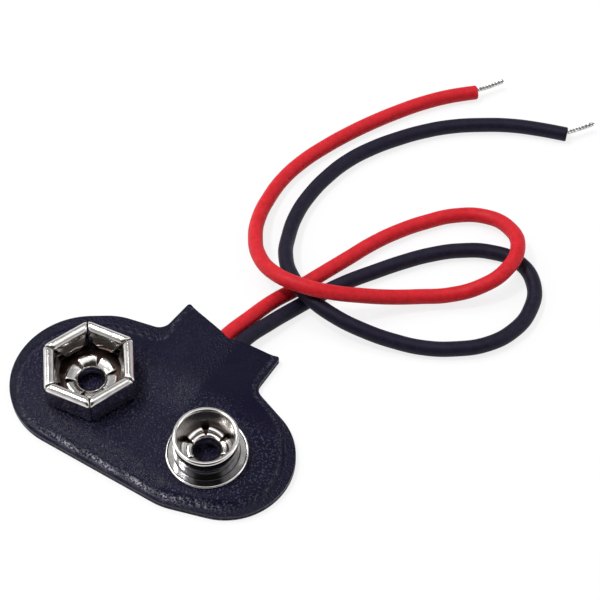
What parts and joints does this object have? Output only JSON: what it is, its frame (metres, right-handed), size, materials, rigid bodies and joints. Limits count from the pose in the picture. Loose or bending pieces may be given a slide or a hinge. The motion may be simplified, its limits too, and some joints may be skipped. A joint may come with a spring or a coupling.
{
  "type": "9 V battery snap",
  "caption": "Snap connector for a 9 V block battery: a soft T-shaped vinyl cover with a hexagonal spring socket, a round stud and a red and a black lead with bare tinned ends.",
  "frame": {"origin": "midway between the axes of the two snaps, on the back of the cover, which is the face that it lies on", "axes": "+X from the socket to the stud, +Y from the snaps towards the leads, +Z out of the back and up through the snaps, the way the battery is pressed on"},
  "size_m": [0.0355, 0.0584, 0.0044],
  "materials": {
    "vinyl": "grained like leather, slight sheen",
    "fibre": "hard vulcanised fibre",
    "nickel": "bright nickel plating on pressed brass",
    "tin": "tinned copper and solder",
    "red_pvc": "smooth soft insulation",
    "black_pvc": "smooth soft insulation"
  },
  "bodies": {
    "root": {"back_cover": "vinyl", "front_cover": "vinyl", "fibre_plate": "fibre", "socket_snap": "nickel", "stud_snap": "nickel", "socket_eyelet": "nickel", "stud_eyelet": "nickel", "red_lead": "red_pvc", "black_lead": "black_pvc", "red_tip": "tin", "black_tip": "tin", "red_tail": "tin", "black_tail": "tin", "red_solder": "tin", "black_solder": "tin"}
  },
  "joints": []
}
